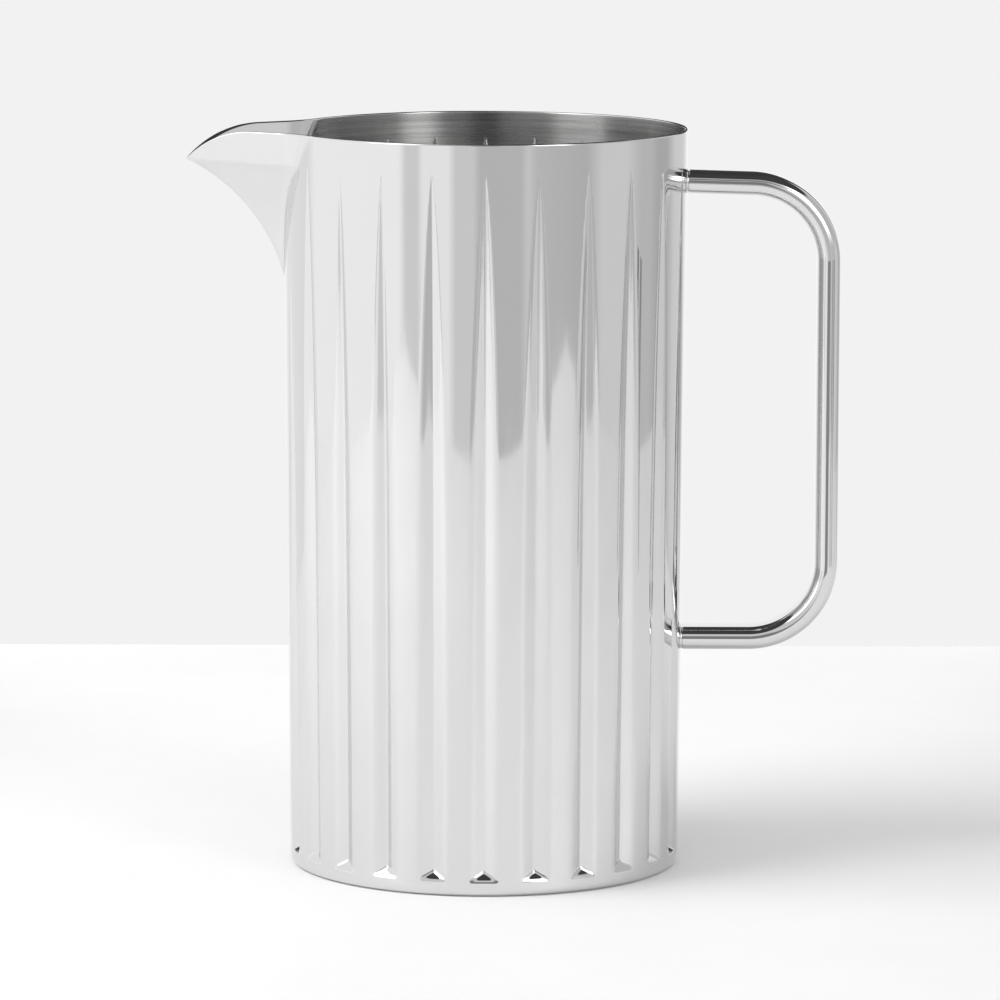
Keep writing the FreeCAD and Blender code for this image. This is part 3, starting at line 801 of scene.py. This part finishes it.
CAMERA_DISTANCE = 1.9
CAMERA_HEIGHT = 0.3897
CAMERA_PITCH = math.radians(8.283)
CAMERA_YAW = math.radians(0.142)
CAMERA_ROLL = math.radians(0.16)
LENS = 222.65


def linear(tone):
    """The linear brightness of a display tone from 0 to 255."""
    share = tone / 255.0
    return share / 12.92 if share <= 0.04045 else ((share + 0.055) / 1.055) ** 2.4


def make_world():
    """The studio as the metal sees it: pale cards round it, windows, a roof and dark gaps."""
    world = bpy.data.worlds.new("studio")
    bpy.context.scene.world = world
    world.use_nodes = True
    n = Nodes(world.node_tree)
    direction = n.add("ShaderNodeTexCoord").outputs["Generated"]
    xyz = n.add("ShaderNodeSeparateXYZ", {"Vector": direction})
    forward = n.math("MULTIPLY", xyz.outputs["Y"], -1.0)
    turn = n.math("ARCTAN2", xyz.outputs["X"], forward)
    azimuth = n.math("ADD", n.math("DIVIDE", turn, 2 * math.pi), 0.5)
    tilt = n.math("ARCSINE", xyz.outputs["Z"])
    elevation = n.math("ADD", n.math("DIVIDE", tilt, math.pi), 0.5)

    def by_azimuth(stops):
        return n.ramp(azimuth, [((degrees + 180.0) / 360.0, level) for degrees, level in stops])

    def by_elevation(stops):
        return n.ramp(elevation, [((degrees + 90.0) / 180.0, level) for degrees, level in stops])

    cards = by_azimuth([(degrees, linear(tone) / METAL[0]) for degrees, tone in CARD_TONES])
    seen = n.mix(by_elevation(WINDOW_SILL), cards, by_azimuth(WINDOW_LEVELS))
    seen = n.mix(by_elevation(ROOF_EDGE), seen, by_azimuth(ROOF_LEVELS))
    for across, up, level in GAPS:
        gap = n.math("MULTIPLY", by_azimuth(across), by_elevation(up))
        seen = n.mix(gap, seen, grey(level))
    rays = n.add("ShaderNodeLightPath")
    seen = n.mix(rays.outputs["Is Diffuse Ray"], seen, grey(FILL_LEVEL))
    seen = n.mix(rays.outputs["Is Camera Ray"], seen, grey(linear(BACKDROP_TONE)))
    shader = n.add("ShaderNodeBackground", {"Color": seen, "Strength": 1.0})
    n.add("ShaderNodeOutputWorld", {"Surface": shader.outputs[0]})


def make_staged_quad(name, corners, material):
    mesh = bpy.data.meshes.new(name)
    mesh.from_pydata(corners, [], [(0, 1, 2, 3)])
    mesh.materials.append(material)
    quad = bpy.data.objects.new(name, mesh)
    bpy.context.scene.collection.objects.link(quad)
    return quad


def make_table():
    """A pale table top: its front edge shows in the pitcher, as a real table's does."""
    material, n = new_material("pale_stone")
    cloud = n.noise(n.place(), scale=6.0, detail=6.0, rough=0.6)
    tone = n.ramp(cloud, [(0.3, 0.86), (0.7, 0.9)])
    inputs = {"Base Color": tone, "Roughness": 0.6, "Specular IOR Level": 0.2}
    n.surface(n.add("ShaderNodeBsdfPrincipled", inputs))
    corners = [(-TABLE_HALF_WIDTH, TABLE_FRONT, 0), (TABLE_HALF_WIDTH, TABLE_FRONT, 0),
               (TABLE_HALF_WIDTH, TABLE_BACK, 0), (-TABLE_HALF_WIDTH, TABLE_BACK, 0)]
    make_staged_quad("table_top", corners, material)


def make_card(name, low, high, level):
    """An upright card out of the camera's sight, between two corners, that the metal mirrors."""
    material, n = new_material(name)
    mottle = n.ramp(n.noise(n.place(), scale=4.0), [(0.3, level * 0.97), (0.7, level * 1.03)])
    n.surface(n.add("ShaderNodeEmission", {"Color": mottle, "Strength": 1.0}))
    corners = [low, (high[0], high[1], low[2]), high, (low[0], low[1], high[2])]
    card = make_staged_quad(name, corners, material)
    card.visible_camera = False
    card.visible_diffuse = False
    card.visible_shadow = False


def make_cards():
    """A low pale card behind the table, and dark strips in front of the grip, for its lines."""
    make_card("back_card", BACK_CARD_LOW, BACK_CARD_HIGH, BACK_CARD_LEVEL)
    handle_low, handle_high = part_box("handle_tube")
    bottom, top = handle_low.z + STRIP_FOOT_MARGIN, handle_high.z - STRIP_TOP_MARGIN
    grip = HANDLE_REACH * MM
    for name, left, right, level in STRIPS:
        low, high = (grip + left, STRIP_PLANE, bottom), (grip + right, STRIP_PLANE, top)
        make_card(name, low, high, level)


def make_key_light():
    """A broad soft light from the left, for the soft shadow to the right."""
    data = bpy.data.lights.new("key", "AREA")
    data.shape = "DISK"
    data.size = KEY_LIGHT_DIAMETER
    data.energy = KEY_LIGHT_POWER
    light = bpy.data.objects.new("key", data)
    bpy.context.scene.collection.objects.link(light)
    x, y, z = KEY_LIGHT_PLACE
    light.location = KEY_LIGHT_PLACE
    light.rotation_euler = (math.atan2(math.hypot(x, y), z), 0.0, math.atan2(-y, -x) - math.pi / 2)
    light.visible_glossy = False


def make_camera():
    """A long lens a little above the rim, looking down at the pitcher's middle."""
    data = bpy.data.cameras.new("camera")
    data.lens = LENS
    data.sensor_width = 36.0
    data.clip_start = 0.05
    camera = bpy.data.objects.new("camera", data)
    bpy.context.scene.collection.objects.link(camera)
    turn = (Matrix.Rotation(-CAMERA_YAW, 3, "Z")
            @ Matrix.Rotation(math.pi / 2 - CAMERA_PITCH, 3, "X")
            @ Matrix.Rotation(CAMERA_ROLL, 3, "Z"))
    camera.rotation_euler = turn.to_euler()
    camera.location = (0.0, -CAMERA_DISTANCE, CAMERA_HEIGHT)
    bpy.context.scene.camera = camera


# ---------------------------------------------------------------- assembly

def make_handle_welds(dressed):
    path = handle_path()
    slope = math.tan(HANDLE_TOP_SLOPE)
    make_handle_weld("upper_root_seam", "upper_handle_weld", path[0], slope, dressed)
    make_handle_weld("lower_root_seam", "lower_handle_weld", path[-1], 0.0, dressed)


def make_pitcher():
    mirror = polished_metal("mirror_polish", 0.035, 0.02)
    beak = polished_metal("beak_polish", 0.04, 0.03)
    grip = polished_metal("grip_polish", 0.03, 0.004)
    satin = brushed_metal("satin_inside", 0.26)
    dressed = dressed_metal("dressed_seam", 0.04)
    make_body_shell(mirror, satin)
    make_spout(beak)
    make_spout_weld(dressed)
    make_base_pan(mirror, satin)
    make_base_weld(dressed)
    make_handle_tube(grip)
    make_handle_welds(dressed)


def make_studio():
    make_world()
    make_table()
    make_cards()
    make_key_light()
    make_camera()
    bpy.context.scene.view_settings.view_transform = "Standard"


make_pitcher()
make_studio()
